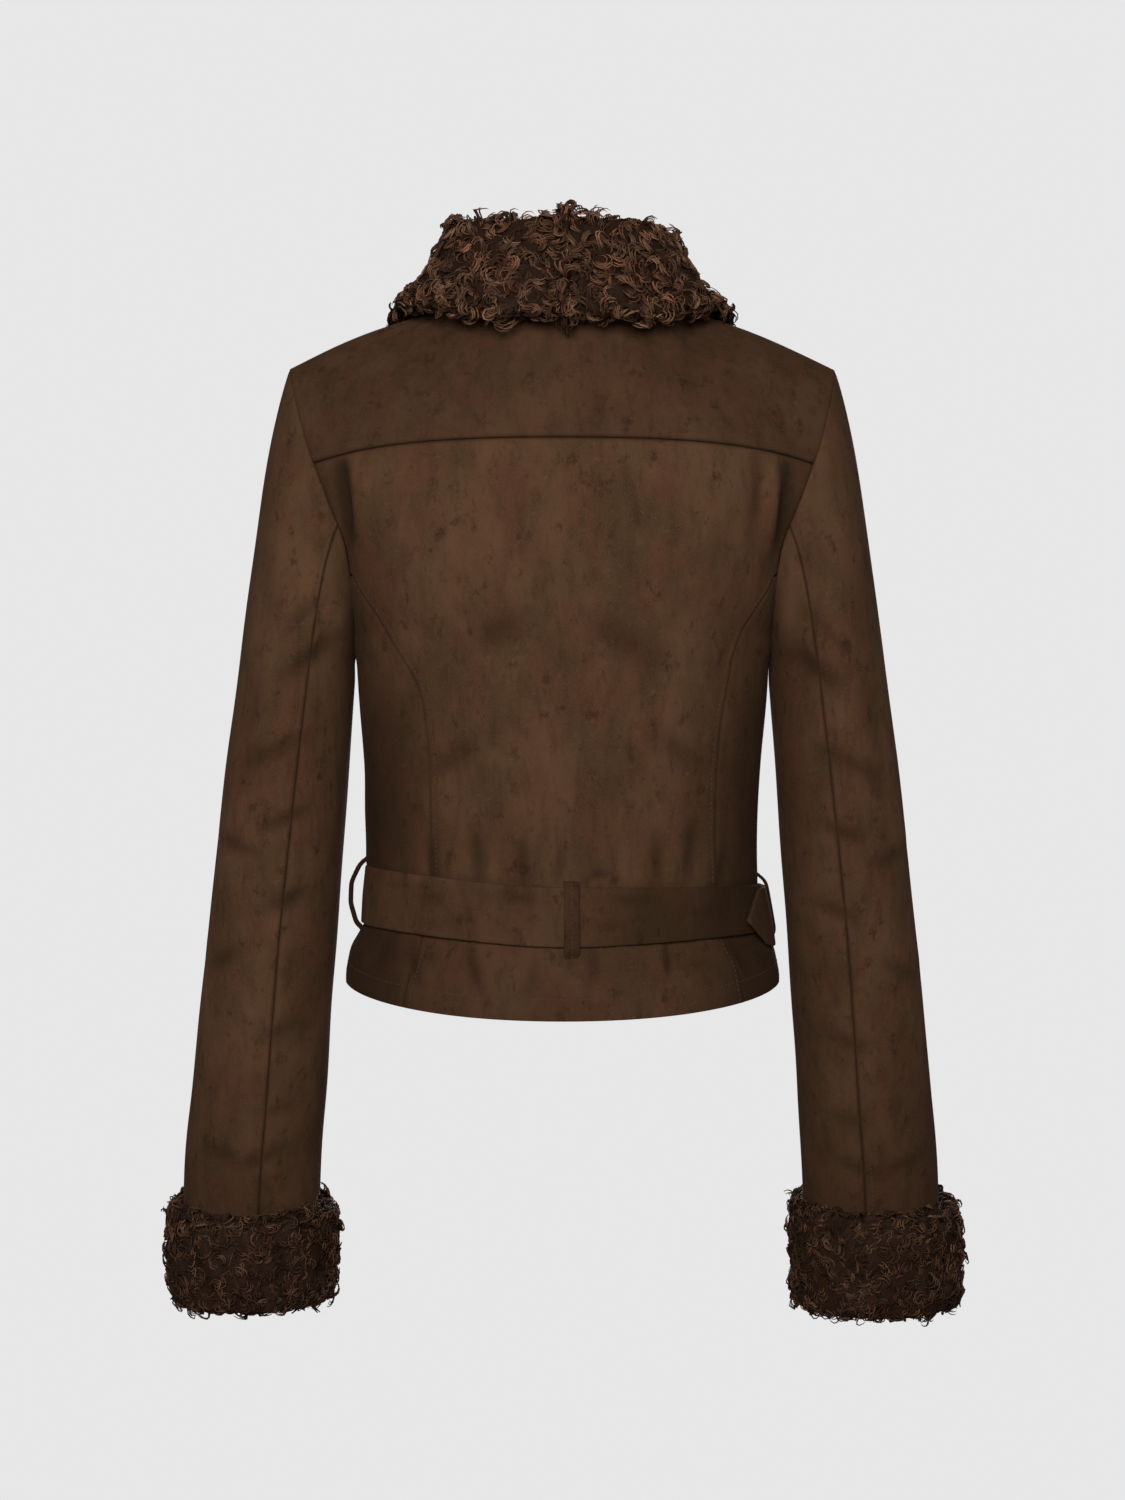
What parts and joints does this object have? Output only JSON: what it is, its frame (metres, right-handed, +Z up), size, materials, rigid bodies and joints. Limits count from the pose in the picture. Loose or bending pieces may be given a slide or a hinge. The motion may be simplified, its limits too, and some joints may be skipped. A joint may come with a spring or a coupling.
{
  "type": "suede jacket",
  "caption": "Cropped suede jacket with a curly fur collar and cuffs, a back yoke, two-piece sleeves and a belt of its own cloth through loops, filled out and hollow.",
  "frame": {"origin": "middle of the neck at the height of the neck points, where the wearer's shoulders hold the jacket up", "axes": "+Z up, +X towards the wearer's left, -Y towards the jacket's front"},
  "size_m": [0.5796, 0.2434, 0.783],
  "materials": {
    "suede": "brown suede with a short nap",
    "curly_fur": "dark brown curly fur",
    "buckle_metal": "dull old metal"
  },
  "bodies": {
    "root": {"back_yoke": "suede", "back_center": "suede", "back_side_left": "suede", "back_side_right": "suede", "front_left": "suede", "front_right": "suede", "sleeve_upper_left": "suede", "sleeve_under_left": "suede", "sleeve_upper_right": "suede", "sleeve_under_right": "suede", "belt": "suede", "belt_tail": "suede", "belt_loop_back": "suede", "belt_loop_left": "suede", "belt_loop_right": "suede", "collar_left": "curly_fur", "collar_right": "curly_fur", "cuff_left": "curly_fur", "cuff_right": "curly_fur", "buckle": "buckle_metal"}
  },
  "joints": []
}
